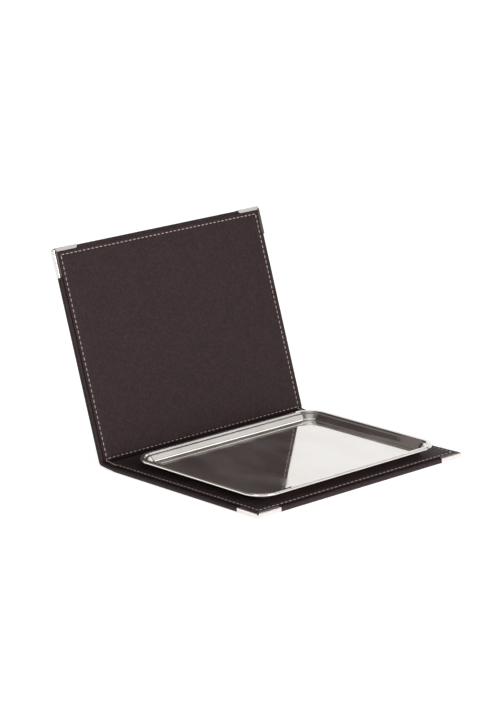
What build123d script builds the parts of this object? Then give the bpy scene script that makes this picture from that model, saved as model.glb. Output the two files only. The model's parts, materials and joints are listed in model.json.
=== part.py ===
"""Guest check presenter: a stitched leatherette folder that carries a polished steel tray.

Two equal padded panels, the base and the cover, are joined by a narrow flexible spine, which
folds along two lines: one at the base and one at the cover. The folder is modelled standing
open, as it is put on a table. Lengths are in millimetres and angles in degrees.

The origin is the centre of the base panel's underside: X runs along the fold, Y runs from the
free edge of the base towards the fold, and Z points up.

Each panel is drawn on a plane of its own, with its outer face on that plane: local X along the
fold, local Y from the fold line to the free edge, and local Z from the outer to the inner face.
"""
import os
from math import cos, radians, sin, sqrt

from build123d import *

# --- The two panels -----------------------------------------------------------------------
panel_width = 216.0        # along the fold
panel_depth = 172.0        # from the fold line to the free edge
skin_thickness = 0.9       # leatherette outside
board_thickness = 2.0      # grey board
lining_thickness = 0.9     # leatherette inside
board_setback = 3.9        # from the fold line to the board
turn_in_width = 14.0       # of the skin, folded over the board's edges
lining_inset = 2.8         # from the panel's edge to the lining's edge
edge_radius = 1.4          # of the panel's edges
corner_radius = 2.0        # of the panel's free corners, in plan
lining_edge_radius = 0.3

# --- The spine ----------------------------------------------------------------------------
spine_board_thickness = 1.2
spine_board_margin = 1.0   # from a fold line to the spine's board
spine_side_step = 0.4      # each end stands back from the panels' side edges
fold_clearance = 0.2       # round the folds
closing_gap = 0.4          # between the tray's rim and the closed cover

# --- The tray -----------------------------------------------------------------------------
tray_length = 192.5
tray_width = 150.5
tray_sheet = 0.7
tray_depth = 6.4           # from the floor to the rim's crown
tray_corner_radius = 18.0
rim_width = 3.6
rim_fall = 0.25            # the rim falls this much from its crown to the shoulder
shoulder_width = 4.0       # between the rim and the wall
shoulder_fall = 1.6
lip_drop = 1.75            # from the crown to the lip's cut edge
lip_flare = 0.5            # the lip leans out by this much
wall_run = 5.2             # the wall leans out by this much
floor_bend_radius = 2.4
floor_margin = 1.6         # from the flat floor to the wall's foot
adhesive_thickness = 0.25
adhesive_width = 25.0
adhesive_length = 110.0
adhesive_spacing = 60.0
adhesive_strips = 3

# --- The metal corners --------------------------------------------------------------------
corner_wing = 23.0         # along each edge
corner_sheet = 0.5
corner_lip = 2.5           # over the turned-in skin
corner_lip_radius = 2.2    # at each wing's free end
corner_bend_radius = 0.9
notch_width = 3.0          # between the two lips, at the tip
notch_root = 0.5           # and at its inner end
notch_depth = 1.3

# --- The stitching ------------------------------------------------------------------------
stitch_inset = 5.5         # from the panel's edge
stitch_pitch = 4.3
stitch_length = 3.0
stitch_width = 0.8
stitch_height = 0.35
hinge_seam_inset = 2.6     # from the fold line to the seam along the cover's foot

# --- How far it stands open ---------------------------------------------------------------
spine_angle = 6.5          # of the spine above the table
cover_angle = 73.0         # of the cover above the table

# --- Worked out from the sizes above ------------------------------------------------------
half_width = panel_width / 2
skinned_height = skin_thickness + board_thickness + skin_thickness
panel_thickness = skinned_height + lining_thickness
spine_thickness = skin_thickness + spine_board_thickness + lining_thickness
fold_radius = spine_thickness / 2
fold_relief = fold_radius + fold_clearance
tray_height = adhesive_thickness + tray_sheet + tray_depth
spine_span = panel_thickness + tray_height + closing_gap
spine_length = panel_width - 2 * spine_side_step


def direction(angle):
    """Unit vector in the YZ plane, at an angle above the +Y axis."""
    return Vector(0, cos(radians(angle)), sin(radians(angle)))


base_fold = Vector(0, panel_depth / 2, panel_thickness / 2)
cover_fold = base_fold + direction(spine_angle) * spine_span
cover_inward = direction(cover_angle + 90)

base_panel = Plane(origin=(0, panel_depth / 2, 0), x_dir=(-1, 0, 0), z_dir=(0, 0, 1))
cover_panel = Plane(
    origin=cover_fold - cover_inward * (panel_thickness / 2),
    x_dir=(1, 0, 0),
    z_dir=cover_inward,
)
spine_section = Plane(
    origin=base_fold - Vector(spine_length / 2, 0, 0),
    x_dir=direction(spine_angle),
    z_dir=(1, 0, 0),
)
spine_inner_face = Plane(
    origin=base_fold + direction(spine_angle + 90) * fold_radius,
    x_dir=(1, 0, 0),
    z_dir=direction(spine_angle + 90),
)

os.makedirs("parts", exist_ok=True)


def save(piece, name):
    """Name a finished piece and write it to its own file."""
    piece.label = name
    export_step(piece, f"parts/{name}.step")


# --- Panels: skin, board, foam, lining ----------------------------------------------------
def panel_rectangle(side_inset, fold_inset, free_inset, free_corner_radius=0):
    """Rectangle on a panel, inset from its side edges, its fold line and its free edge."""
    depth = panel_depth - fold_inset - free_inset
    with BuildSketch() as outline:
        with Locations((0, fold_inset + depth / 2)):
            Rectangle(panel_width - 2 * side_inset, depth)
        if free_corner_radius > 0:
            fillet(outline.vertices().group_by(Axis.Y)[-1], free_corner_radius)
    return outline.sketch


def cut_fold_relief(panel):
    """Clear the spine's round edge, and the spine when it stands square to the panel."""
    across = Plane(origin=panel.origin, x_dir=panel.y_dir, z_dir=panel.x_dir)
    with BuildSketch(across) as relief:
        with Locations((0, panel_thickness / 2)):
            Circle(fold_relief)
            Rectangle(2 * fold_relief, panel_thickness, align=(Align.CENTER, Align.MIN))
    extrude(relief.sketch, amount=panel_width, both=True, mode=Mode.SUBTRACT)


def round_free_edges(face, panel, radius):
    """Round a face's edges, apart from the one along the fold."""
    from_fold = Axis(panel.origin, panel.y_dir)
    fillet(face.edges().sort_by(from_fold)[1:], radius)


def board_outline():
    inset = skin_thickness
    return panel_rectangle(inset, board_setback, inset, corner_radius - inset)


def foam_outline():
    return panel_rectangle(turn_in_width, board_setback, turn_in_width)


def corner_plate_outline(side):
    """Outer plate of a metal corner: a triangle with blunt tips."""
    with BuildSketch() as outline:
        with BuildLine():
            Polyline(
                (side * half_width, panel_depth),
                (side * (half_width - corner_wing), panel_depth),
                (side * (half_width - corner_wing), panel_depth - corner_lip),
                (side * (half_width - corner_lip), panel_depth - corner_wing),
                (side * half_width, panel_depth - corner_wing),
                close=True,
            )
        make_face()
    return outline.sketch


def make_outer_skin(panel, name):
    normal = Axis(panel.origin, panel.z_dir)
    with BuildPart() as skin:
        with BuildSketch(panel):
            add(panel_rectangle(0, 0, 0, corner_radius))
        extrude(amount=skinned_height)
        round_free_edges(skin.faces().sort_by(normal)[0], panel, edge_radius)
        round_free_edges(skin.faces().sort_by(normal)[-1], panel, edge_radius)
        cut_fold_relief(panel)
        # The pocket that holds the board
        with BuildSketch(panel.offset(skin_thickness)):
            add(board_outline())
        extrude(amount=board_thickness, mode=Mode.SUBTRACT)
        # The window that the turned-in skin leaves round the foam
        with BuildSketch(panel.offset(skin_thickness + board_thickness)):
            add(foam_outline())
        extrude(amount=skin_thickness, mode=Mode.SUBTRACT)
        # The plates of the metal corners lie flush in the outer face
        with BuildSketch(panel):
            add(corner_plate_outline(1))
            add(corner_plate_outline(-1))
        extrude(amount=corner_sheet, mode=Mode.SUBTRACT)
    save(skin.part, f"{name}_outer_skin")


def make_board(panel, name):
    with BuildPart() as board:
        with BuildSketch(panel.offset(skin_thickness)):
            add(board_outline())
        extrude(amount=board_thickness)
    save(board.part, f"{name}_board")


def make_foam(panel, name):
    with BuildPart() as foam:
        with BuildSketch(panel.offset(skin_thickness + board_thickness)):
            add(foam_outline())
        extrude(amount=skin_thickness)
    save(foam.part, f"{name}_foam")


def make_lining(panel, name):
    normal = Axis(panel.origin, panel.z_dir)
    with BuildPart() as lining:
        with BuildSketch(panel.offset(skinned_height)):
            add(panel_rectangle(lining_inset, 0, lining_inset))
        extrude(amount=lining_thickness)
        round_free_edges(lining.faces().sort_by(normal)[-1], panel, lining_edge_radius)
        cut_fold_relief(panel)
    save(lining.part, f"{name}_lining")


# --- Stitching: one small bar for each stitch that shows ----------------------------------
def stitch_row(start, end):
    """Middles of evenly spaced stitches from start to end."""
    run = Vector(*end) - Vector(*start)
    count = round(run.length / stitch_pitch)
    return [Vector(*start) + run * ((number + 0.5) / count) for number in range(count)]


def make_panel_stitching(panel, name):
    """Seams along both sides and the free edge, which meet at sharp corners."""
    seam_x = half_width - stitch_inset
    seam_end = panel_depth - stitch_inset
    with BuildPart() as stitching:
        with BuildSketch(panel.offset(panel_thickness)):
            for side in (1, -1):
                with Locations(*stitch_row((side * seam_x, board_setback), (side * seam_x, seam_end))):
                    Rectangle(stitch_width, stitch_length)
            with Locations(*stitch_row((-seam_x, seam_end), (seam_x, seam_end))):
                Rectangle(stitch_length, stitch_width)
        extrude(amount=stitch_height)
    save(stitching.part, f"{name}_stitching")


def make_hinge_stitching():
    """Seam along the cover's foot, between the two side seams."""
    seam_x = half_width - stitch_inset - stitch_width
    with BuildPart() as stitching:
        with BuildSketch(cover_panel.offset(panel_thickness)):
            with Locations(*stitch_row((-seam_x, hinge_seam_inset), (seam_x, hinge_seam_inset))):
                Rectangle(stitch_length, stitch_width)
        extrude(amount=stitch_height)
    save(stitching.part, "cover_hinge_stitching")


# --- Metal corners: a plate outside, a wall round the edges and a lip inside --------------
def make_corner(panel, side, name):
    normal = Axis(panel.origin, panel.z_dir)
    size = corner_wing + corner_sheet
    far_x = half_width - corner_wing
    far_y = panel_depth - corner_wing
    lip_x = half_width - corner_lip
    lip_y = panel_depth - corner_lip
    lip_top = skinned_height + corner_sheet
    with BuildPart() as corner:
        with BuildSketch(panel) as block:
            with Locations((side * (far_x + size / 2), far_y + size / 2)):
                Rectangle(size, size)
            tip = block.vertices().sort_by(lambda point: side * point.X + point.Y)[-1]
            fillet(tip, corner_radius + corner_sheet)
        extrude(amount=lip_top)
        # Bent edges, outside and inside, along both edges and round the tip
        tip_point = panel.from_local_coords((side * half_width, panel_depth, lip_top / 2))
        for face in (corner.faces().sort_by(normal)[0], corner.faces().sort_by(normal)[-1]):
            bends = face.edges().sort_by_distance(tip_point)[:3]
            fillet(bends, corner_bend_radius)
        # The panel's edge fills the space between the plate and the lip
        with BuildSketch(panel.offset(corner_sheet)):
            add(panel_rectangle(0, 0, 0, corner_radius))
        extrude(amount=skinned_height - corner_sheet, mode=Mode.SUBTRACT)
        # Inside, only a narrow lip is left along each edge
        with BuildSketch(panel.offset(skinned_height)):
            add(panel_rectangle(corner_lip, 0, corner_lip))
        extrude(amount=corner_sheet, mode=Mode.SUBTRACT)
        # Outside, the plate is cut off along a slant
        with BuildSketch(panel):
            with BuildLine():
                Polyline(
                    (side * far_x, lip_y),
                    (side * lip_x, far_y),
                    (side * far_x, far_y),
                    close=True,
                )
            make_face()
        extrude(amount=corner_sheet, mode=Mode.SUBTRACT)
        # The lips' free ends are rounded
        for end in ((side * far_x, lip_y), (side * lip_x, far_y)):
            end_point = panel.from_local_coords((*end, skinned_height + corner_sheet / 2))
            end_edge = corner.edges().filter_by(normal).sort_by_distance(end_point)[0]
            fillet(end_edge, corner_lip_radius)
        # A notch at the tip keeps the two lips apart
        reach = corner_lip + corner_sheet
        spread = notch_width / 2 / sqrt(2)
        root = notch_root / 2 / sqrt(2)
        with BuildSketch(panel.offset(lip_top)):
            with BuildLine():
                Polyline(
                    (side * (lip_x - notch_root + root), lip_y - notch_root - root),
                    (side * (lip_x + reach + spread), lip_y + reach - spread),
                    (side * (lip_x + reach + spread), lip_y + reach + spread),
                    (side * (lip_x + reach - spread), lip_y + reach + spread),
                    (side * (lip_x - notch_root - root), lip_y - notch_root + root),
                    close=True,
                )
            make_face()
        extrude(amount=-notch_depth, mode=Mode.SUBTRACT)
    save(corner.part, name)


for panel, name in ((base_panel, "base"), (cover_panel, "cover")):
    make_outer_skin(panel, name)
    make_board(panel, name)
    make_foam(panel, name)
    make_lining(panel, name)
    make_panel_stitching(panel, name)
    for side, hand in ((-panel.x_dir.X, "left"), (panel.x_dir.X, "right")):
        make_corner(panel, side, f"{name}_corner_{hand}")
make_hinge_stitching()


# --- Spine: a flexible strip with both long edges round the fold lines --------------------
board_bottom = skin_thickness - fold_radius
board_run = spine_span - 2 * spine_board_margin


for node, half in (("spine_outer_skin", Align.MAX), ("spine_lining", Align.MIN)):
    with BuildPart() as layer:
        with BuildSketch(spine_section):
            with Locations((spine_span / 2, 0)):
                SlotCenterToCenter(spine_span, spine_thickness)
                Rectangle(
                    spine_span + spine_thickness, spine_thickness,
                    align=(Align.CENTER, half), mode=Mode.INTERSECT,
                )
            with Locations((spine_span / 2, board_bottom + spine_board_thickness / 2)):
                Rectangle(board_run, spine_board_thickness, mode=Mode.SUBTRACT)
        extrude(amount=spine_length)
    save(layer.part, node)

with BuildPart() as spine_board:
    with BuildSketch(spine_section):
        with Locations((spine_span / 2, board_bottom + spine_board_thickness / 2)):
            Rectangle(board_run, spine_board_thickness)
    extrude(amount=spine_length)
save(spine_board.part, "spine_board")

# The side seams cross the spine with one long stitch each. It keeps clear of both panels'
# inner faces when the folder is closed.
stitch_clear = panel_thickness / 2 + 2 * fold_clearance
with BuildPart() as spine_stitching:
    with BuildSketch(spine_inner_face):
        with Locations(
            (-(half_width - stitch_inset), spine_span / 2),
            (half_width - stitch_inset, spine_span / 2),
        ):
            Rectangle(stitch_width, spine_span - 2 * stitch_clear)
    extrude(amount=stitch_height)
save(spine_stitching.part, "spine_stitching")

# --- Tray: one pressed sheet, with its wall, rim and lip swept round the floor ------------
tray_floor = Plane.XY.offset(panel_thickness + adhesive_thickness + tray_sheet)
floor_inset = rim_width + shoulder_width + wall_run + floor_margin
wall_height = tray_depth - rim_fall - shoulder_fall
floor_radius = tray_corner_radius - floor_inset
floor_length = tray_length - 2 * floor_inset
floor_width = tray_width - 2 * floor_inset

# The upper bends are tight: sharp below, and above as round as the sheet is thick.
with BuildPart() as tray:
    with BuildSketch(tray_floor) as floor:
        RectangleRounded(floor_length, floor_width, floor_radius)
    extrude(amount=-tray_sheet)
    edge_of_floor = floor.sketch.face().outer_wire()
    start = edge_of_floor @ 0
    along = edge_of_floor % 0
    outward = along.cross(Vector(0, 0, 1))
    if outward.dot(start) < 0:
        outward = -outward
    upright = Plane(origin=start, x_dir=outward, z_dir=outward.cross(Vector(0, 0, 1)))
    with BuildSketch(upright) as profile:
        with BuildLine():
            top = FilletPolyline(
                (0, 0),
                (floor_margin, 0),
                (floor_margin + wall_run, wall_height),
                (floor_inset - rim_width, tray_depth - rim_fall),
                (floor_inset - lip_flare, tray_depth),
                (floor_inset, tray_depth - lip_drop),
                radius=(floor_bend_radius, tray_sheet, tray_sheet, tray_sheet),
            )
            offset(top, amount=tray_sheet, side=Side.RIGHT)
        make_face()
    sweep(sections=profile.sketch, path=edge_of_floor)
save(tray.part, "tray")

with BuildPart() as tray_adhesive:
    with BuildSketch(Plane.XY.offset(panel_thickness)):
        with GridLocations(adhesive_spacing, 0, adhesive_strips, 1):
            Rectangle(adhesive_width, adhesive_length)
    extrude(amount=adhesive_thickness)
save(tray_adhesive.part, "tray_adhesive")
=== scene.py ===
"""Looks of a guest check presenter: a leatherette folder standing open, with a steel tray.

Each half of the folder is shaped lying flat: X runs along the fold, Y from the fold line to the
free edge, and Z from the outer to the inner face. The half of the spine that hangs on it lies
at negative Y. Then the spine's half is bent up, and the piece is laid or stood in its place.
"""

import json
from math import atan2, cos, pi, radians, sin, sqrt, tan

import bmesh
import bpy
from mathutils import Matrix, Vector


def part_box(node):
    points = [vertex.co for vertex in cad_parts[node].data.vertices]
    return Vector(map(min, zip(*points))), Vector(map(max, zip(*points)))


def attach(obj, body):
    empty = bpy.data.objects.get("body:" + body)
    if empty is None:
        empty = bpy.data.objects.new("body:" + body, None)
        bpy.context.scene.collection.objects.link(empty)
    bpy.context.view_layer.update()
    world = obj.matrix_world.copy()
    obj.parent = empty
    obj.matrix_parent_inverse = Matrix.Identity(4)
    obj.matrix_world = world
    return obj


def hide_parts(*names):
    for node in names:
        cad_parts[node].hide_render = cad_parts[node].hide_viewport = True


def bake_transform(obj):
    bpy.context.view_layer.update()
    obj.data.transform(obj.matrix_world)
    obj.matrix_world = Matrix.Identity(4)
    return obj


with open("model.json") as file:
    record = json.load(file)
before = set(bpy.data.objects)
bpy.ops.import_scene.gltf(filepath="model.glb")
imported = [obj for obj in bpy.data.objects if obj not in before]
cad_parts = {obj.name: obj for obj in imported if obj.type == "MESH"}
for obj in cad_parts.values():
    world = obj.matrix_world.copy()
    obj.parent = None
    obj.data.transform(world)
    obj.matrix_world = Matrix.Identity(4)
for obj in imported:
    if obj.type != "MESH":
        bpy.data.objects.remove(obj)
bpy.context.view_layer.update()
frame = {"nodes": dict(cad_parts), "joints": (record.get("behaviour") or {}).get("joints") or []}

# --- Camera -------------------------------------------------------------------------------
# A long lens a little above the table, turned towards the folder's front left corner. Its place
# was fitted to the straight edges of both panels and of the tray.
mm = 0.001
focal_length = 142.34
camera_place = Vector((-1436.68, -1578.58, 656.12)) * mm
camera_pitch = 14.968
camera_turn = 41.586
camera_roll = -1.399

bpy.ops.object.camera_add(location=camera_place)
camera = bpy.context.object
camera.rotation_euler = (
    Matrix.Rotation(radians(-camera_turn), 3, "Z")
    @ Matrix.Rotation(radians(90 - camera_pitch), 3, "X")
    @ Matrix.Rotation(radians(camera_roll), 3, "Z")
).to_euler()
camera.data.lens = focal_length
camera.data.sensor_width = 36
camera.data.clip_end = 50
bpy.context.scene.camera = camera

# --- Table and light ----------------------------------------------------------------------
# A white table that runs on past the picture, in a studio with a bright wall behind and dark
# sides. Soft lamps in front and on the left give the leatherette its sheen.
table_size = 16.0
table_gap = 0.1 * mm


class Wire:
    """An output of a node. Arithmetic on it adds Math nodes to the node's tree."""

    def __init__(self, nodes, socket):
        self.nodes = nodes
        self.socket = socket

    def __add__(self, other):
        return self.nodes.math("ADD", self, other)

    def __mul__(self, other):
        return self.nodes.math("MULTIPLY", self, other)

    def __sub__(self, other):
        return self.nodes.math("SUBTRACT", self, other)

    def __rsub__(self, other):
        return self.nodes.math("SUBTRACT", other, self)

    __radd__ = __add__
    __rmul__ = __mul__


class Nodes:
    """A node tree while it is laid out."""

    def __init__(self, tree):
        self.tree = tree

    def node(self, kind, settings={}, inputs={}, output=0):
        made = self.tree.nodes.new(kind)
        for setting, value in settings.items():
            setattr(made, setting, value)
        for socket, value in inputs.items():
            self.feed(made.inputs[socket], value)
        return Wire(self, made.outputs[output])

    def feed(self, socket, value):
        if isinstance(value, Wire):
            self.tree.links.new(value.socket, socket)
        else:
            socket.default_value = value

    def math(self, operation, *values):
        return self.node("ShaderNodeMath", {"operation": operation}, dict(enumerate(values)))

    def blend(self, share, first, second):
        """Colour between two colours."""
        return self.node(
            "ShaderNodeMix", {"data_type": "RGBA"}, {0: share, 6: first, 7: second}, 2
        )

    def between(self, wire, low, high):
        """0 where the wire is at or under low, 1 at or over high."""
        return self.node(
            "ShaderNodeMapRange", {"interpolation_type": "SMOOTHSTEP"},
            {"Value": wire, "From Min": low, "From Max": high},
        )


class Finish(Nodes):
    """A material, with its nodes laid out round the Principled shader."""

    def __init__(self, name, even):
        self.material = bpy.data.materials.new(name)
        self.material.use_nodes = True
        super().__init__(self.material.node_tree)
        self.shader = self.tree.nodes["Principled BSDF"]
        self.coordinates = self.node("ShaderNodeTexCoord", output="Object")
        for socket, value in even.items():
            self.give(socket, value)

    def give(self, socket, value):
        self.feed(self.shader.inputs[socket], value)

    def noise(self, size, detail=2.0, stretch=(1, 1, 1)):
        """Cloudy noise whose lumps are about so many metres across."""
        place = self.node(
            "ShaderNodeMapping", {}, {"Vector": self.coordinates, "Scale": stretch}
        )
        return self.node(
            "ShaderNodeTexNoise", {}, {"Vector": place, "Scale": 1 / size, "Detail": detail}
        )

    def bump(self, height, depth, strength=1.0):
        self.give("Normal", self.node(
            "ShaderNodeBump", {},
            {"Height": height, "Distance": depth, "Strength": strength}, "Normal",
        ))

    def cover(self, *pieces):
        for piece in pieces:
            piece.data.materials.clear()
            piece.data.materials.append(self.material)


white_table = Finish("white_table", {"Roughness": 0.9, "Emission Strength": 0.77})
white_table.give("Emission Color", (1, 1, 1, 1))
white_table.give("Base Color", white_table.blend(
    white_table.noise(0.4), (0.60, 0.60, 0.60, 1), (0.63, 0.63, 0.63, 1)
))

bpy.ops.object.select_all(action="DESELECT")
bpy.ops.mesh.primitive_plane_add(size=table_size, location=(0, 0, -table_gap))
table = bpy.context.object
table.name = "table"
white_table.cover(table)

# The studio: the bright wall, a soft box overhead, a white panel in front on the right, and a
# small lamp high on the right, which shows as bright lines in the tray's bends.
dark_side = 0.16
dark_tint = (1.0, 0.88, 0.83, 1)
sky = bpy.data.worlds.new("studio_sky")
sky.use_nodes = True
studio = Nodes(sky.node_tree)
look = studio.node("ShaderNodeTexCoord", output="Generated")


def facing(way):
    return studio.node(
        "ShaderNodeVectorMath", {"operation": "DOT_PRODUCT"}, {0: look, 1: way}, "Value"
    )


upward = facing((0, 0, 1))
wall_sides = studio.between(facing((0.66, 0.75, 0)), 0.1, 0.5)
wall_top = 1 - studio.between(upward, 0.42, 0.52)
bright_wall = wall_sides * wall_top * 0.92
soft_box = studio.between(upward, 0.80, 0.88) * 0.45 + studio.between(upward, 0.97, 0.99) * 0.6
front_panel = studio.between(facing((0.63, -0.52, 0.58)), 0.95, 0.97) * 0.62
side_lamp = studio.between(facing((0.64, -0.03, 0.765)), 0.991, 0.996) * 3.0
light = dark_side + bright_wall + soft_box + front_panel + side_lamp
backdrop = sky.node_tree.nodes["Background"]
studio.feed(backdrop.inputs["Color"], studio.blend(
    studio.between(light, dark_side, 0.5), dark_tint, (1, 1, 1, 1)
))
studio.feed(backdrop.inputs["Strength"], light)
bpy.context.scene.world = sky
bpy.context.scene.view_settings.view_transform = "Standard"

for name, place, size, power, colour in (
    ("front_lamp", (0.1, -1.9, 0.6), 1.0, 30, (1.0, 0.88, 0.86)),
    ("left_lamp", (-1.6, -0.6, 1.0), 1.0, 8, (1.0, 0.97, 0.95)),
):
    bpy.ops.object.light_add(type="AREA", location=place)
    lamp = bpy.context.object
    lamp.name = name
    lamp.data.shape = "DISK"
    lamp.data.size = size
    lamp.data.energy = power
    lamp.data.color = colour
    lamp.rotation_euler = (-Vector(place)).to_track_quat("-Z", "Y").to_euler()

# --- Outer leatherette --------------------------------------------------------------------
# One sheet of dark brown leatherette is glued round both boards and the spine. Its edges are
# turned in and show as a narrow border. It is two pieces here, which meet half way up the spine.
skin_low, skin_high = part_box("base_outer_skin")
panel_width = skin_high.x - skin_low.x
panel_depth = skin_high.y - skin_low.y
skin_height = skin_high.z
panel_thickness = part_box("base_lining")[1].z
half_width = panel_width / 2

base_joint, cover_joint = frame["joints"]
base_fold = Vector(base_joint["pos_m"])
cover_fold = Vector(cover_joint["pos_m"])
spine_way = (cover_fold - base_fold).normalized()
half_spine = (cover_fold - base_fold).length / 2
spine_angle = atan2(spine_way.z, spine_way.y)
# When the folder is closed, the cover lies flat over the base.
cover_angle = pi - radians(base_joint["range_deg"][1] + cover_joint["range_deg"][1])
cover_way = Vector((0, cos(cover_angle), sin(cover_angle)))
cover_inward = Vector((0, -sin(cover_angle), cos(cover_angle)))
cover_foot = cover_fold - cover_inward * panel_thickness / 2

edge_radius = 1.4 * mm
corner_radius = 2.0 * mm
corner_wing = 23.0 * mm
corner_sheet = 0.5 * mm
corner_lip = 2.5 * mm
fold_reach = 2.8 * mm
tiny = 0.01 * mm

# Rows across the fold, with the cover in line with the spine: distance from the fold line, then
# the heights of the outer face, of the skin's inner face and of the lining's face. Both sheets
# are pressed together over the fold, and the spine has only a thin board.
fold_rows = [
    [value * mm for value in row]
    for row in (
        (9.0, 0.0, 3.8, 4.7),
        (4.4, 0.0, 3.8, 4.7),
        (2.8, 0.12, 3.76, 4.64),
        (2.1, 0.25, 3.70, 4.52),
        (1.4, 0.42, 3.60, 4.36),
        (0.7, 0.58, 3.50, 4.2),
        (0.0, 0.65, 3.45, 4.1),
        (-0.7, 0.6, 3.45, 4.05),
        (-1.4, 0.52, 3.45, 4.05),
        (-2.1, 0.46, 3.45, 4.05),
        (-2.8, 0.42, 3.45, 4.05),
        (-4.2, 0.4, 3.45, 4.05),
        (-half_spine / mm, 0.4, 3.45, 4.05),
    )
]


def pick(piece):
    """Make a piece the only one selected, and the active one."""
    bpy.ops.object.select_all(action="DESELECT")
    piece.select_set(True)
    bpy.context.view_layer.objects.active = piece


def start_piece(name):
    """Name the new primitive, apply its size and place, and start to edit it."""
    piece = bpy.context.object
    piece.name = piece.data.name = name
    bpy.ops.object.transform_apply()
    bpy.ops.object.mode_set(mode="EDIT")
    return piece


def select(piece, kind, wanted):
    """Select the vertices, edges or faces whose middle and direction are wanted."""
    bpy.ops.mesh.select_mode(type=kind)
    bpy.ops.mesh.select_all(action="DESELECT")
    mesh = bmesh.from_edit_mesh(piece.data)
    if kind == "VERT":
        chosen = [v for v in mesh.verts if wanted(v.co, v.normal)]
    elif kind == "EDGE":
        chosen = [
            e for e in mesh.edges
            if wanted((e.verts[0].co + e.verts[1].co) / 2,
                      (e.verts[1].co - e.verts[0].co).normalized())
        ]
    else:
        chosen = [f for f in mesh.faces if wanted(f.calc_center_median(), f.normal)]
    for part in chosen:
        part.select_set(True)
    mesh.select_flush_mode()
    bmesh.update_edit_mesh(piece.data)


def cut(place, across, **options):
    """Cut all that is edited along a plane."""
    bpy.ops.mesh.select_mode(type="FACE")
    bpy.ops.mesh.select_all(action="SELECT")
    bpy.ops.mesh.bisect(plane_co=place, plane_no=across, **options)


def finish_piece(piece, angle=35):
    """Leave edit mode and shade the piece smooth, with its flat faces kept flat."""
    bpy.ops.object.mode_set(mode="OBJECT")
    pick(piece)
    bpy.ops.object.shade_smooth_by_angle(angle=radians(angle))
    weighted = piece.modifiers.new("flat_faces", "WEIGHTED_NORMAL")
    weighted.keep_sharp = True
    bpy.ops.object.modifier_apply(modifier=weighted.name)


def rows_of(piece):
    """Numbers of the vertices on each row across the fold."""
    mesh = bmesh.from_edit_mesh(piece.data)
    return [[v.index for v in mesh.verts if abs(v.co.y - row[0]) < tiny] for row in fold_rows]


def take(piece, numbers):
    """Select vertices by number."""
    bpy.ops.mesh.select_mode(type="VERT")
    bpy.ops.mesh.select_all(action="DESELECT")
    mesh = bmesh.from_edit_mesh(piece.data)
    mesh.verts.ensure_lookup_table()
    for number in numbers:
        mesh.verts[number].select_set(True)
    mesh.select_flush_mode()
    bmesh.update_edit_mesh(piece.data)


def fit_rows(piece, low, high, layer):
    """Cut the rows across the fold, and squeeze each between the two heights it has there."""
    for row in fold_rows[:-1]:
        cut((0, row[0], 0), (0, 1, 0))
    for row, numbers in zip(fold_rows, rows_of(piece)):
        take(piece, numbers)
        squeeze = (row[layer + 1] - row[layer]) / (high - low)
        bpy.ops.transform.resize(value=(1, 1, squeeze), center_override=(0, 0, low))
        bpy.ops.transform.translate(value=(0, 0, row[layer] - low))


def bend_spine(piece, angle):
    """Bend the spine's half up by an angle, a little more at each row over the fold."""
    for row, numbers in zip(fold_rows, rows_of(piece)):
        share = min(max((fold_reach - row[0]) / (2 * fold_reach), 0), 1)
        take(piece, numbers)
        bpy.ops.transform.rotate(
            value=angle * share * share * (3 - 2 * share), orient_axis="X",
            center_override=(0, 0, panel_thickness / 2),
        )


def copy_piece(piece, name):
    """A copy with its own mesh, which becomes the active object."""
    pick(piece)
    bpy.ops.object.duplicate()
    copy = bpy.context.object
    copy.name = copy.data.name = name
    return copy


def settle(piece, turn, place):
    """Turn a piece and move it to its place, and leave its object at the origin."""
    pick(piece)
    piece.rotation_euler = turn
    piece.location = place
    bpy.ops.object.transform_apply()


def lay_base(piece):
    settle(piece, (0, 0, pi), (0, base_fold.y, 0))


def stand_cover(piece):
    settle(piece, (cover_angle, 0, 0), cover_foot)


def join_base_and_spine(piece):
    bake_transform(piece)


def join_cover_and_spine(piece):
    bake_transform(piece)


def in_corner(point):
    """True where a metal corner's plate lies on the outer face."""
    side, end = half_width - abs(point.x), panel_depth - point.y
    return side < corner_wing and end < corner_wing and side + end < corner_wing + corner_lip


bpy.ops.object.select_all(action="DESELECT")
bpy.ops.mesh.primitive_cube_add(
    size=1,
    location=(0, (panel_depth - half_spine) / 2, skin_height / 2),
    scale=(panel_width, panel_depth + half_spine, skin_height),
)
cover_skin = start_piece("cover_leatherette")
select(cover_skin, "EDGE", lambda at, way: at.y > panel_depth - tiny and abs(way.z) > 0.9)
bpy.ops.mesh.bevel(offset=corner_radius, segments=5)
select(
    cover_skin, "EDGE",
    lambda at, way: abs(way.z) < 0.1 and at.y > tiny - half_spine
    and min(abs(at.z), abs(at.z - skin_height)) < tiny,
)
bpy.ops.mesh.bevel(offset=edge_radius, segments=6)
for side in (1, -1):
    cut((side * (half_width - corner_wing), 0, 0), (1, 0, 0))
    cut((side * (half_width - corner_lip), panel_depth - corner_wing, 0), (side, 1, 0))
cut((0, panel_depth - corner_wing, 0), (0, 1, 0))
select(cover_skin, "FACE", lambda at, way: at.z < corner_sheet and in_corner(at))
bpy.ops.mesh.extrude_region_move()
bpy.ops.transform.resize(value=(1, 1, 0), center_override=(0, 0, corner_sheet))
fit_rows(cover_skin, 0, skin_height, 1)
bpy.ops.object.mode_set(mode="OBJECT")
base_skin = copy_piece(cover_skin, "base_leatherette")

for piece, angle, put, join in (
    (base_skin, spine_angle, lay_base, join_base_and_spine),
    (cover_skin, cover_angle - spine_angle, stand_cover, join_cover_and_spine),
):
    pick(piece)
    bpy.ops.object.mode_set(mode="EDIT")
    bend_spine(piece, angle)
    finish_piece(piece)
    put(piece)
    join(piece)
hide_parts("base_outer_skin", "spine_outer_skin")
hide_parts("cover_outer_skin")


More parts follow.
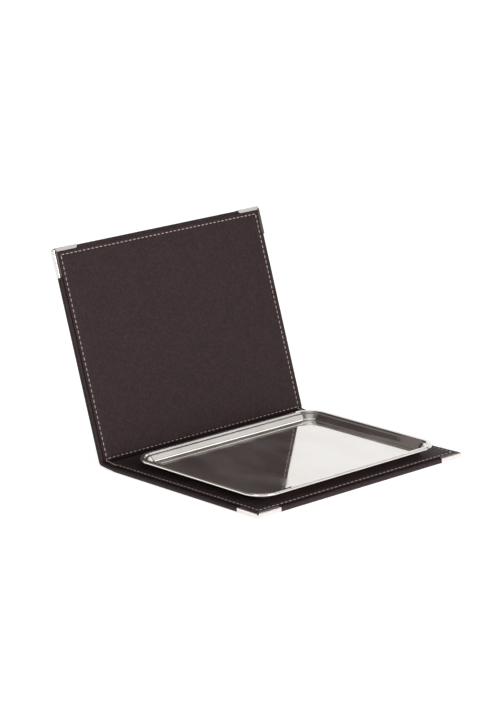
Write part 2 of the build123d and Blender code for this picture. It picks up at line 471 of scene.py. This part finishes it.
def leatherette(name, dark, light, grain, shine):
    """Coated fabric with a pressed pebble grain, with painted shade in the valleys between the
    pebbles.
    """
    finish = Finish(name, {"Specular IOR Level": 0.19})
    wander = finish.between(finish.noise(3 * grain, 3), 0.3, 0.7)
    place = finish.node(
        "ShaderNodeVectorMath", {"operation": "MULTIPLY_ADD"},
        {0: finish.node(
            "ShaderNodeTexNoise", {},
            {"Vector": finish.coordinates, "Scale": 0.4 / grain, "Detail": 2}, "Color",
        ), 1: (1.5 * grain,) * 3, 2: finish.coordinates},
    )
    valleys = finish.node(
        "ShaderNodeTexVoronoi", {"feature": "DISTANCE_TO_EDGE"},
        {"Vector": place, "Scale": 1 / grain}, "Distance",
    )
    pebbles = finish.between(valleys, 0.0, 0.28)
    mottle = finish.noise(14 * grain, 4)
    # The colour mixes painted shade in the valleys between the pebbles with tone that differs at
    # random (wander, mottle).
    shade = pebbles * 0.35 + wander * 0.35 + mottle * 0.3
    finish.give("Base Color", finish.blend(shade, dark, light))
    finish.give("Roughness", shine - pebbles * 0.10 + mottle * 0.12)
    finish.bump(pebbles * 0.8 + wander * 0.5, 0.05 * mm, 0.7)
    return finish


leatherette(
    "brown_leatherette", (0.008, 0.0045, 0.006, 1), (0.042, 0.024, 0.026, 1), 0.9 * mm, 0.50
).cover(base_skin, cover_skin)

# --- Lining -------------------------------------------------------------------------------
# A second sheet of softer leatherette covers the inside from panel to panel, over a thin foam.
# It is cut short of the edges and sewn down near them, so it swells a little inside the seam.
lining_inset = 2.8 * mm
lining_edge_radius = 0.3 * mm
seam_inset = 5.5 * mm
foot_seam = 2.6 * mm
# Steps inwards from the rounded cut edge: width, then rise. The seam is pressed in.
lining_steps = [
    (1.6 * mm, 0.0), (0.45 * mm, -0.16 * mm), (0.7 * mm, 0.0), (0.5 * mm, 0.17 * mm),
    (1.2 * mm, 0.11 * mm), (2.5 * mm, 0.1 * mm), (5 * mm, 0.06 * mm), (8 * mm, 0.0),
]
overhang = 60 * mm

bpy.ops.object.select_all(action="DESELECT")
lining_cut_height = panel_thickness - lining_edge_radius - skin_height
bpy.ops.mesh.primitive_cube_add(
    size=1,
    location=(0, (panel_depth - lining_inset - overhang) / 2, skin_height + lining_cut_height / 2),
    scale=(
        panel_width - 2 * lining_inset, panel_depth - lining_inset + overhang, lining_cut_height,
    ),
)
cover_lining = start_piece("cover_inside")
select(cover_lining, "FACE", lambda at, way: way.z > 0.9)
edge_steps = 4
for step in range(edge_steps):
    start, end = (pi / 2 * number / edge_steps for number in (step, step + 1))
    bpy.ops.mesh.inset(
        thickness=lining_edge_radius * (cos(start) - cos(end)),
        depth=lining_edge_radius * (sin(end) - sin(start)),
    )
for width, rise in lining_steps:
    bpy.ops.mesh.inset(thickness=width, depth=rise)
cut((0, -half_spine, 0), (0, 1, 0), clear_inner=True, use_fill=True)
for row in range(2, 16):
    cut((0, row * panel_depth / 16, 0), (0, 1, 0))
fit_rows(cover_lining, skin_height, panel_thickness, 2)
bpy.ops.object.mode_set(mode="OBJECT")
base_lining = copy_piece(cover_lining, "base_inside")

for piece, angle, put, join in (
    (base_lining, spine_angle, lay_base, join_base_and_spine),
    (cover_lining, cover_angle - spine_angle, stand_cover, join_cover_and_spine),
):
    pick(piece)
    bpy.ops.object.mode_set(mode="EDIT")
    if piece == cover_lining:
        for distance in (foot_seam - 0.35 * mm, foot_seam + 0.35 * mm, foot_seam + 0.8 * mm):
            cut((0, distance, 0), (0, 1, 0))
        select(
            piece, "VERT",
            lambda at, way: abs(at.y - foot_seam) < 0.4 * mm and at.z > panel_thickness - 0.3 * mm
            and abs(at.x) < half_width - seam_inset,
        )
        bpy.ops.transform.translate(value=(0, 0, -0.16 * mm))
    bend_spine(piece, angle)
    finish_piece(piece)
    put(piece)
    join(piece)
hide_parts("base_lining", "spine_lining")
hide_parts("cover_lining")
leatherette(
    "soft_brown_leatherette", (0.007, 0.004, 0.0055, 1), (0.040, 0.023, 0.025, 1), 0.7 * mm, 0.52
).cover(base_lining, cover_lining)

# The lining's cut edge, painted near black as a painted shadow: the shade of the step down from the
# lining to the skin's border.
lining_edge_shadow = Finish("painted_lining_edge_shadow", {"Roughness": 0.95, "Specular IOR Level": 0.1})
lining_edge_shadow.give("Base Color", lining_edge_shadow.blend(
    lining_edge_shadow.noise(0.4 * mm), (0.004, 0.003, 0.003, 1), (0.010, 0.008, 0.008, 1)
))
# The faces on the lining's sides and free edge take this painted shadow.
for piece, free_way in ((base_lining, Vector((0, -1, 0))), (cover_lining, cover_way)):
    piece.data.materials.append(lining_edge_shadow.material)
    for face in piece.data.polygons:
        if abs(face.normal.x) > 0.8 or face.normal.dot(free_way) > 0.8:
            face.material_index = 1

# --- Boards, foam and adhesive ------------------------------------------------------------
# The folder's inside: grey boards that stiffen the panels and the spine, a thin foam sheet
# under each lining, and the film that holds the tray. They keep their solids.
grey_board = Finish("grey_board", {"Roughness": 0.9})
grey_board.give("Base Color", grey_board.blend(
    grey_board.noise(1.5 * mm, 6), (0.30, 0.28, 0.25, 1), (0.50, 0.47, 0.42, 1)
))
grey_board.bump(grey_board.noise(0.6 * mm, 4), 0.05 * mm)
grey_board.cover(*(frame["nodes"][name] for name in ("base_board", "cover_board", "spine_board")))

foam_sheet = Finish("foam_sheet", {"Roughness": 0.95})
foam_cells = foam_sheet.node(
    "ShaderNodeTexVoronoi", {}, {"Vector": foam_sheet.coordinates, "Scale": 1800}, "Distance"
)
foam_sheet.give("Base Color", foam_sheet.blend(
    foam_cells, (0.70, 0.69, 0.64, 1), (0.82, 0.81, 0.77, 1)
))
foam_sheet.bump(foam_cells, 0.1 * mm)
foam_sheet.cover(frame["nodes"]["base_foam"], frame["nodes"]["cover_foam"])

adhesive_film = Finish("adhesive_film", {"Roughness": 0.4})
adhesive_film.give("Base Color", adhesive_film.blend(
    adhesive_film.noise(6 * mm), (0.75, 0.75, 0.72, 1), (0.85, 0.85, 0.83, 1)
))
adhesive_film.cover(frame["nodes"]["tray_adhesive"])

# --- Stitching ----------------------------------------------------------------------------
# Beige thread sews the lining down along the sides, the free edges and the cover's foot. Each
# stitch lies proud in the middle and dives into its holes at both ends.
stitch_pitch = 4.3 * mm
stitch_length = 3.0 * mm
thread_radius = 0.4 * mm
seam_start = 3.9 * mm
seam_height = panel_thickness - 0.05 * mm

bpy.ops.object.select_all(action="DESELECT")
bpy.ops.mesh.primitive_cylinder_add(
    vertices=8, radius=thread_radius, depth=stitch_length, rotation=(pi / 2, 0, 0)
)
stitch = start_piece("stitch")
for share in (0.38, 0.2, -0.2, -0.38):
    cut((0, share * stitch_length, 0), (0, 1, 0))
for share, size, drop in ((0.5, 0.35, 0.34 * mm), (0.38, 0.85, 0.12 * mm), (0.2, 1.0, 0.02 * mm)):
    for end in (1, -1):
        select(stitch, "VERT", lambda at, way: abs(at.y - end * share * stitch_length) < tiny)
        bpy.ops.transform.resize(
            value=(size, 1, size), center_override=(0, end * share * stitch_length, 0)
        )
        bpy.ops.transform.translate(value=(0, 0, -drop))
bpy.ops.mesh.select_all(action="SELECT")
bpy.ops.transform.resize(value=(1, 1, 0.8), center_override=(0, 0, 0))
finish_piece(stitch, 60)


def sew(start, end):
    """A row of stitches from start to end on the inner face of a panel."""
    run = Vector(end) - Vector(start)
    count = round(run.length / stitch_pitch)
    row = copy_piece(stitch, "row")
    repeat = row.modifiers.new("stitches", "ARRAY")
    repeat.count = count
    repeat.use_relative_offset = False
    repeat.use_constant_offset = True
    repeat.constant_offset_displace = (0, run.length / count, 0)
    bpy.ops.object.modifier_apply(modifier=repeat.name)
    first = Vector(start) + run / count / 2
    settle(row, (0, 0, atan2(-run.x, run.y)), (first.x, first.y, seam_height))
    return row


def join_rows(rows, name):
    bpy.ops.object.select_all(action="DESELECT")
    for row in rows:
        row.select_set(True)
    bpy.context.view_layer.objects.active = rows[0]
    bpy.ops.object.join()
    rows[0].name = rows[0].data.name = name
    return rows[0]


seam_x = half_width - seam_inset
seam_end = panel_depth - seam_inset
foot_x = seam_x - 2 * thread_radius
cover_stitches = join_rows([
    sew((seam_x, seam_start), (seam_x, seam_end)),
    sew((-seam_x, seam_start), (-seam_x, seam_end)),
    sew((-seam_x, seam_end), (seam_x, seam_end)),
], "cover_seams")
base_stitches = copy_piece(cover_stitches, "base_seams")
foot_stitches = sew((-foot_x, foot_seam), (foot_x, foot_seam))
foot_stitches.name = foot_stitches.data.name = "cover_foot_seam"
lay_base(base_stitches)
stand_cover(cover_stitches)
stand_cover(foot_stitches)
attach(base_stitches, "base")
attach(cover_stitches, "cover")
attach(foot_stitches, "cover")
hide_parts("base_stitching")
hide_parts("cover_stitching")
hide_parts("cover_hinge_stitching")

# Where the side seams cross the spine, one long stitch follows the lining over both folds.
long_stitches = []
for name, angle, put, join in (
    ("base_long_stitches", spine_angle, lay_base, join_base_and_spine),
    ("cover_long_stitches", cover_angle - spine_angle, stand_cover, join_cover_and_spine),
):
    threads = []
    for side in (1, -1):
        bpy.ops.object.select_all(action="DESELECT")
        bpy.ops.mesh.primitive_cylinder_add(
            vertices=8, radius=thread_radius, depth=half_spine + fold_reach,
            location=(side * seam_x, (fold_reach - half_spine) / 2, 0), rotation=(pi / 2, 0, 0),
        )
        thread = start_piece("thread")
        for row in fold_rows:
            cut((0, row[0], 0), (0, 1, 0))
        for row, numbers in zip(fold_rows, rows_of(thread)):
            take(thread, numbers)
            bpy.ops.transform.translate(value=(0, 0, row[3] - 0.1 * mm))
        bend_spine(thread, angle)
        finish_piece(thread, 60)
        threads.append(thread)
    long_stitch = join_rows(threads, name)
    put(long_stitch)
    join(long_stitch)
    long_stitches.append(long_stitch)
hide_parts("spine_stitching")

bpy.data.objects.remove(stitch)

beige_thread = Finish("beige_thread", {"Roughness": 0.6, "Specular IOR Level": 0.5})
strands = beige_thread.noise(0.35 * mm, 3)
beige_thread.give("Base Color", beige_thread.blend(
    strands, (0.24, 0.20, 0.185, 1), (0.46, 0.40, 0.37, 1)
))
beige_thread.bump(strands, 0.05 * mm)
seams = (base_stitches, cover_stitches, foot_stitches, *long_stitches)
beige_thread.cover(*seams)

# --- Tray ---------------------------------------------------------------------------------
# A sheet of stainless steel, pressed into a shallow tray and polished to a mirror. The rim is
# almost flat, and its outer edge is turned down to a short lip.
tray_low, tray_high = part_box("tray")
tray_sheet = 0.7 * mm
tray_corner = 18 * mm
lip_drop = 1.75 * mm
# The section, from the lip's cut edge inwards: distance, height over the rim's crown, and the
# radius of the bend. Between the rim and the wall there is a narrow step. The wall's foot is
# bent softly, and a low step runs round the floor.
tray_section = [
    [value * mm for value in point]
    for point in (
        (0.0, -1.75, 0),
        (0.02, -0.75, 0.6),
        (0.7, 0.0, 0.45),
        (3.4, -0.12, 0.3),
        (4.3, -1.3, 0.3),
        (6.1, -1.88, 0.3),
        (9.0, -5.55, 4.0),
        (10.5, -6.12, 0.8),
        (15.0, -6.15, 0.3),
        (15.4, -6.4, 0.3),
        (16.4, -6.4, 0),
    )
]
# The floor isn't quite flat: distances from its edge, and the sag that is added there.
floor_sag = ((2.0 * mm, 0.0), (8 * mm, 0.02 * mm), (16 * mm, 0.03 * mm), (28 * mm, 0.02 * mm))


def rounded(points, radii, steps=7):
    """A line through points, with an arc of the given radius at each point but the ends."""
    line = [Vector(points[0])]
    for before, corner, after, radius in zip(points, points[1:], points[2:], radii):
        corner = Vector(corner)
        back = (Vector(before) - corner).normalized()
        on = (Vector(after) - corner).normalized()
        half_angle = back.angle(on) / 2
        middle = corner + (back + on).normalized() * radius / sin(half_angle)
        first = corner + back * radius / tan(half_angle) - middle
        last = corner + on * radius / tan(half_angle) - middle
        for step in range(steps + 1):
            line.append(middle + first.slerp(last, step / steps).normalized() * radius)
    return line + [Vector(points[-1])]


tray_profile = rounded(
    [point[:2] for point in tray_section], [point[2] for point in tray_section[1:-1]]
)
bpy.ops.object.select_all(action="DESELECT")
bpy.ops.mesh.primitive_plane_add(size=1, location=(0, 0, tray_high.z - lip_drop))
bpy.context.object.scale = (tray_high.x - tray_low.x, tray_high.y - tray_low.y, 1)
tray = start_piece("polished_tray")
bpy.ops.mesh.select_all(action="SELECT")
bpy.ops.mesh.bevel(affect="VERTICES", offset=tray_corner, segments=20)
select(tray, "FACE", lambda at, way: True)
for before, after in zip(tray_profile, tray_profile[1:]):
    bpy.ops.mesh.inset(thickness=after.x - before.x, depth=after.y - before.y)
floor_x = tray_high.x - tray_profile[-1].x
floor_y = tray_high.y - tray_profile[-1].x
floor_z = tray_high.z - lip_drop - tray_profile[0].y + tray_profile[-1].y
for distance, sag in floor_sag:
    sag_x, sag_y = floor_x - distance, floor_y - distance
    for side in (1, -1):
        for edge, across in (((sag_x, 0, 0), (1, 0, 0)), ((0, sag_y, 0), (0, 1, 0))):
            select(tray, "FACE", lambda at, way: at.z < floor_z + tiny and abs(way.z) > 0.999)
            bpy.ops.mesh.bisect(plane_co=Vector(edge) * side, plane_no=across)
    select(
        tray, "VERT", lambda at, way: abs(at.x) < sag_x + tiny and abs(at.y) < sag_y + tiny
    )
    bpy.ops.transform.translate(value=(0, 0, -sag))


def make_sheet(piece, thickness, easing):
    """Give a piece its sheet's thickness inwards, and ease the sheet's cut edges."""
    bpy.ops.object.mode_set(mode="OBJECT")
    sheet = piece.modifiers.new("sheet", "SOLIDIFY")
    sheet.thickness = thickness
    sheet.offset = -1
    sheet.use_even_offset = True
    bpy.ops.object.modifier_apply(modifier=sheet.name)
    eased = piece.modifiers.new("eased_cut_edge", "BEVEL")
    eased.width = easing
    eased.segments = 2
    eased.limit_method = "ANGLE"
    eased.angle_limit = radians(50)
    bpy.ops.object.modifier_apply(modifier=eased.name)
    finish_piece(piece, 40)


make_sheet(tray, tray_sheet, 0.15 * mm)
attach(tray, "base")
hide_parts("tray")

steel = Finish("mirror_steel", {})
smears = steel.between(steel.noise(22 * mm, 4, (1, 0.45, 1)), 0.3, 0.7)
steel.give("Base Color", steel.blend(smears, (0.72, 0.69, 0.655, 1), (0.78, 0.755, 0.725, 1)))
steel.give("Metallic", 0.955 - smears * 0.06)
steel.give("Roughness", smears * 0.05 + 0.04)
steel.cover(tray)

# --- Metal corners ------------------------------------------------------------------------
# A chromed sheet is bent round each free corner: a plate outside, a wall round the edge, and two
# narrow lips with rounded ends inside. A notch at the tip lets the lips fold over.
corner_bend = 0.6 * mm
lip_end_radius = 2.2 * mm
lip_spring = radians(12)
notch_width = 1.7 * mm
notch_depth = 1.3 * mm
lip_top = skin_height + corner_sheet
out_x, out_y = half_width + corner_sheet, panel_depth + corner_sheet
far_x, far_y = half_width - corner_wing, panel_depth - corner_wing
lip_x, lip_y = half_width - corner_lip, panel_depth - corner_lip

bpy.ops.object.select_all(action="DESELECT")
bpy.ops.mesh.primitive_cube_add(
    size=1,
    location=((far_x + out_x) / 2, (far_y + out_y) / 2, lip_top / 2),
    scale=(out_x - far_x, out_y - far_y, lip_top),
)
cover_right = start_piece("cover_right_corner")
select(cover_right, "FACE", lambda at, way: way.x < -0.9 or way.y < -0.9)
bpy.ops.mesh.delete(type="FACE")
select(cover_right, "EDGE", lambda at, way: abs(way.z) > 0.9 and at.x + at.y > out_x + out_y - tiny)
bpy.ops.mesh.bevel(offset=corner_radius + corner_sheet, segments=8)
# The lips: what lies further in is cut away.
select(cover_right, "FACE", lambda at, way: way.z > 0.9)
bpy.ops.mesh.bisect(plane_co=(lip_x, 0, 0), plane_no=(1, 0, 0))
select(cover_right, "FACE", lambda at, way: way.z > 0.9)
bpy.ops.mesh.bisect(plane_co=(0, lip_y, 0), plane_no=(0, 1, 0))
select(cover_right, "FACE", lambda at, way: way.z > 0.9 and at.x < lip_x and at.y < lip_y)
bpy.ops.mesh.delete(type="FACE")
# The plate is cut off along a slant.
select(cover_right, "FACE", lambda at, way: way.z < -0.9)
bpy.ops.mesh.bisect(plane_co=(far_x, lip_y, 0), plane_no=(1, 1, 0), clear_inner=True)
# The wall is bent up from the plate, and the lips from the wall.
select(
    cover_right, "EDGE",
    lambda at, way: min(abs(at.z), abs(at.z - lip_top)) < tiny
    and (at.x > out_x - tiny or at.y > out_y - tiny
         or at.x + at.y > lip_x + lip_y + 4 * corner_sheet)
    and abs(way.z) < 0.1 and min(out_x - at.x, out_y - at.y) < corner_sheet,
)
bpy.ops.mesh.bevel(offset=corner_bend, segments=6)
lip_ends = Vector((far_x, lip_y, lip_top)), Vector((lip_x, far_y, lip_top))
select(
    cover_right, "VERT", lambda at, way: min((at - end).length for end in lip_ends) < tiny
)
bpy.ops.mesh.bevel(affect="VERTICES", offset=lip_end_radius, segments=6)
# The lip along the free edge has sprung up a little.
select(
    cover_right, "VERT",
    lambda at, way: at.z > lip_top - tiny and at.x < lip_x + tiny
    and lip_y - tiny < at.y < out_y - corner_bend - tiny,
)
bpy.ops.transform.rotate(
    value=lip_spring, orient_axis="X", center_override=(0, out_y - corner_bend, lip_top)
)
# The notch runs from the lips' inner corner to the tip and widens on the way.
notch_angle = atan2(notch_width / 2, sqrt(2) * corner_lip)
for side in (1, -1):
    across = pi / 4 + side * (pi / 2 - notch_angle) + pi
    cut((lip_x, lip_y, 0), (cos(across), sin(across), 0))
cut((0, 0, lip_top - notch_depth), (0, 0, 1))
select(
    cover_right, "FACE",
    lambda at, way: at.z > lip_top - notch_depth
    and at.x > lip_x - tiny and at.y > lip_y - tiny
    and abs(atan2(at.y - lip_y, at.x - lip_x) - pi / 4) < notch_angle,
)
bpy.ops.mesh.delete(type="FACE")
make_sheet(cover_right, corner_sheet, 0.12 * mm)

cover_left = copy_piece(cover_right, "cover_left_corner")
cover_left.scale.x = -1
bpy.ops.object.transform_apply()
bpy.ops.object.mode_set(mode="EDIT")
bpy.ops.mesh.select_all(action="SELECT")
bpy.ops.mesh.normals_make_consistent(inside=False)
finish_piece(cover_left, 40)
base_left = copy_piece(cover_right, "base_left_corner")
base_right = copy_piece(cover_left, "base_right_corner")

chrome = Finish("bright_chrome", {"Metallic": 1.0})
haze = chrome.noise(5 * mm, 3)
chrome.give("Base Color", chrome.blend(haze, (0.70, 0.675, 0.65, 1), (0.78, 0.76, 0.74, 1)))
chrome.give("Roughness", haze * 0.08 + 0.05)
for corner, put, body in (
    (cover_left, stand_cover, "cover"), (cover_right, stand_cover, "cover"),
    (base_left, lay_base, "base"), (base_right, lay_base, "base"),
):
    put(corner)
    chrome.cover(corner)
    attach(corner, body)
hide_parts("cover_corner_left")
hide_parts("cover_corner_right")
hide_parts("base_corner_left")
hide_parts("base_corner_right")
